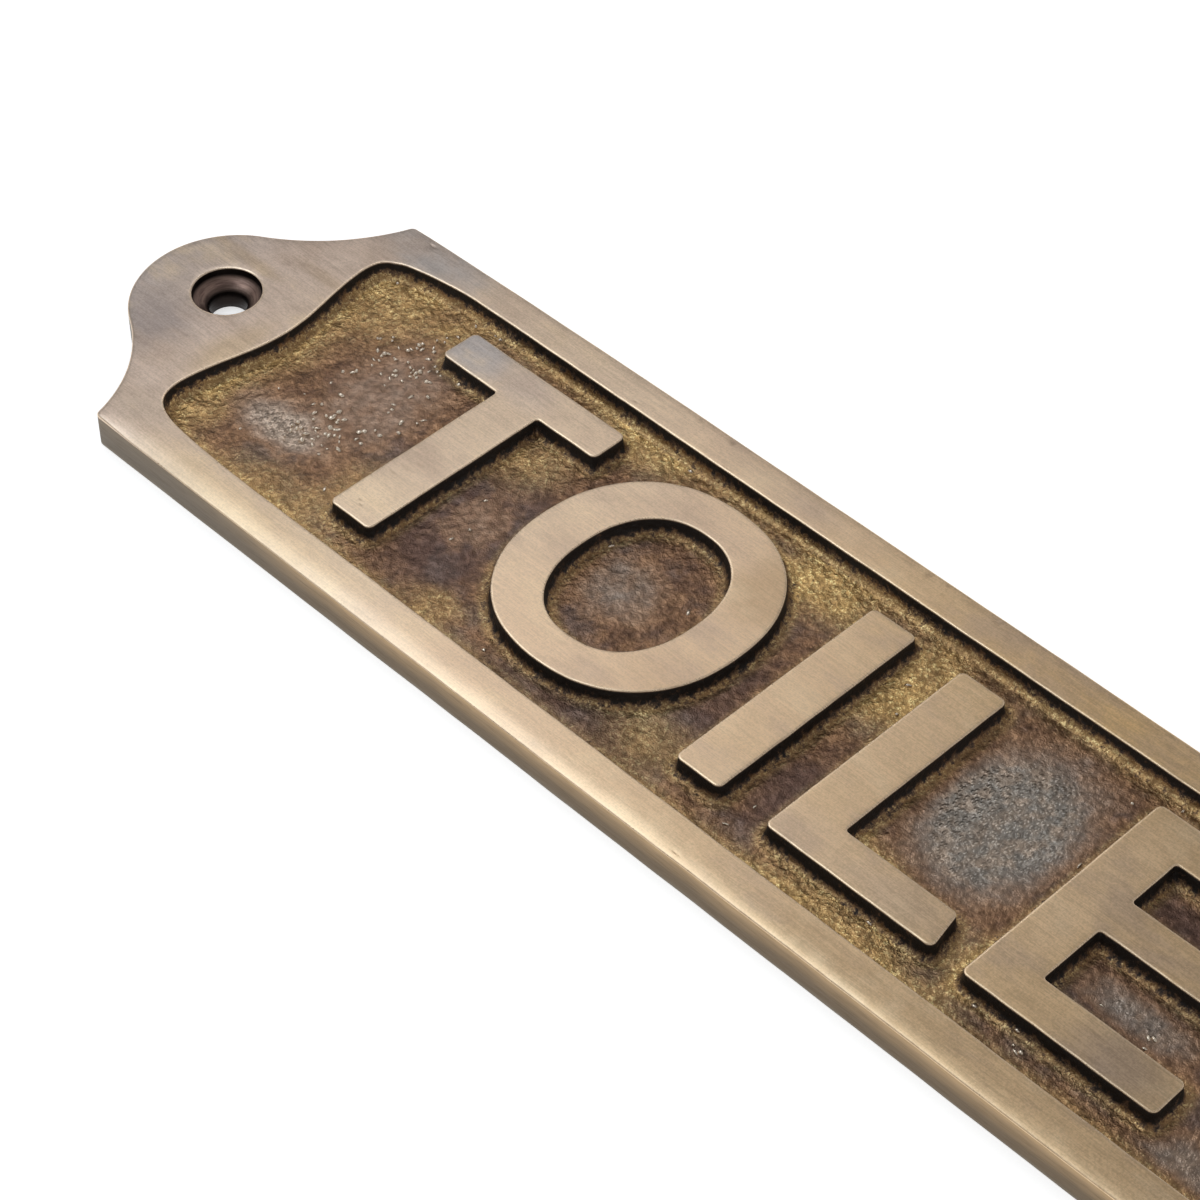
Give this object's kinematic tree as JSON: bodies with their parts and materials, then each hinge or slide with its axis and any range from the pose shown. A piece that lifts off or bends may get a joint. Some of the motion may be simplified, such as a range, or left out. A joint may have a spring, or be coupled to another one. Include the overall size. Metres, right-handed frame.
{
  "type": "door sign",
  "caption": "Cast metal room sign for a door: an oblong plate with a raised border, a raised word in a sunk panel and a screw hole in each rounded ear.",
  "frame": {"origin": "middle of the flat back face, halfway between the two screw holes", "axes": "+X along the word in its reading direction, +Y towards the tops of the letters, +Z out of the lettered face"},
  "size_m": [0.2206, 0.0474, 0.0044],
  "materials": {
    "brass": "brushed on the border and letters, dark antique patina in the rough-cast panel"
  },
  "bodies": {
    "root": {"sign_plate": "brass"}
  },
  "joints": []
}
